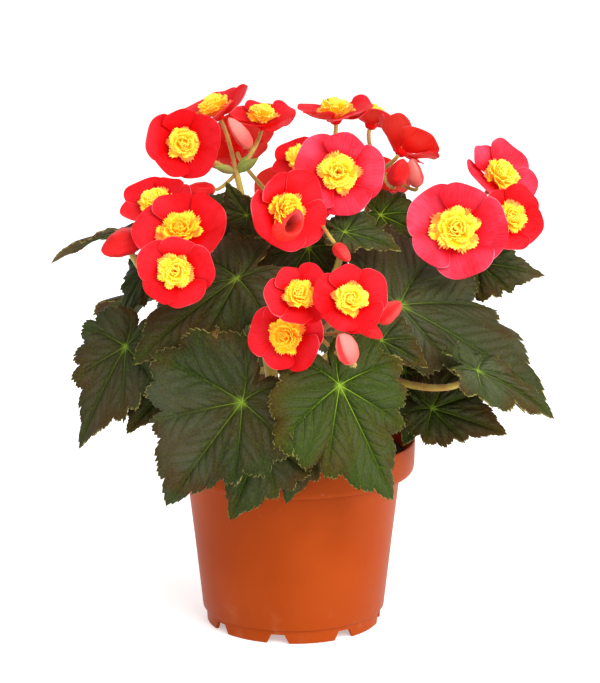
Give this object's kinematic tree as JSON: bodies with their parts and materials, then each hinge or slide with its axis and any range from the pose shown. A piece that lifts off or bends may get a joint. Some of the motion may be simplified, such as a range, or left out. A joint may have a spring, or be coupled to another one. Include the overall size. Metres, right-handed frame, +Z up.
{
  "type": "potted begonia",
  "caption": "Flowering begonia with double red, yellow-centred blooms over lobed leaves, growing in soil in a round plastic nursery pot.",
  "frame": {"origin": "on the pot's axis, at the level of the surface that the pot stands on", "axes": "+Z up along the pot's axis, -Y towards the side with the lowest front leaves and most open blooms, +X to that side's right"},
  "size_m": [0.2622, 0.2466, 0.287],
  "materials": {
    "terracotta_plastic": "satin terracotta-coloured plastic with fine turning lines",
    "potting_soil": "dark moist peat, crumbly",
    "leaf_and_stem": "dark bronze-green leaf with paler veins, satin; yellow-green hairy stalks",
    "petal_red": "soft scarlet petal with a faint sheen",
    "petal_yellow": "bright yellow ruffled petal",
    "bud_red": "coral red to pale pink bud, satin"
  },
  "bodies": {
    "root": {"pot": "terracotta_plastic", "soil": "potting_soil", "shoot_left": "leaf_and_stem", "petals_e1": "petal_red", "centre_e1": "petal_yellow", "petals_e2": "petal_red", "centre_e2": "petal_yellow", "petals_e3": "petal_red", "centre_e3": "petal_yellow", "bud_e": "bud_red", "shoot_front": "leaf_and_stem", "petals_f1": "petal_red", "centre_f1": "petal_yellow", "petals_f2": "petal_red", "centre_f2": "petal_yellow", "petals_f3": "petal_red", "centre_f3": "petal_yellow", "bud_f1": "bud_red", "bud_f2": "bud_red", "bud_f3": "bud_red", "shoot_right": "leaf_and_stem", "petals_d1": "petal_red", "centre_d1": "petal_yellow", "petals_d2": "petal_red", "centre_d2": "petal_yellow", "petals_d3": "petal_red", "centre_d3": "petal_yellow", "shoot_top_left": "leaf_and_stem", "petals_a1": "petal_red", "centre_a1": "petal_yellow", "petals_a2": "petal_red", "centre_a2": "petal_yellow", "petals_a3": "petal_red", "centre_a3": "petal_yellow", "bud_a": "bud_red", "bud_a_low": "bud_red", "shoot_centre": "leaf_and_stem", "petals_b1": "petal_red", "centre_b1": "petal_yellow", "petals_b2": "petal_red", "centre_b2": "petal_yellow", "petals_b3": "petal_red", "centre_b3": "petal_yellow", "petals_b4": "petal_red", "centre_b4": "petal_yellow", "bud_b": "bud_red", "shoot_top_right": "leaf_and_stem", "petals_c1": "petal_red", "centre_c1": "petal_yellow", "petals_c2": "petal_red", "centre_c2": "petal_yellow", "bud_c": "bud_red", "bud_c_pale": "bud_red", "shoot_back": "leaf_and_stem", "petals_g1": "petal_red", "centre_g1": "petal_yellow", "petals_g2": "petal_red", "centre_g2": "petal_yellow", "petals_g3": "petal_red", "centre_g3": "petal_yellow"}
  },
  "joints": []
}
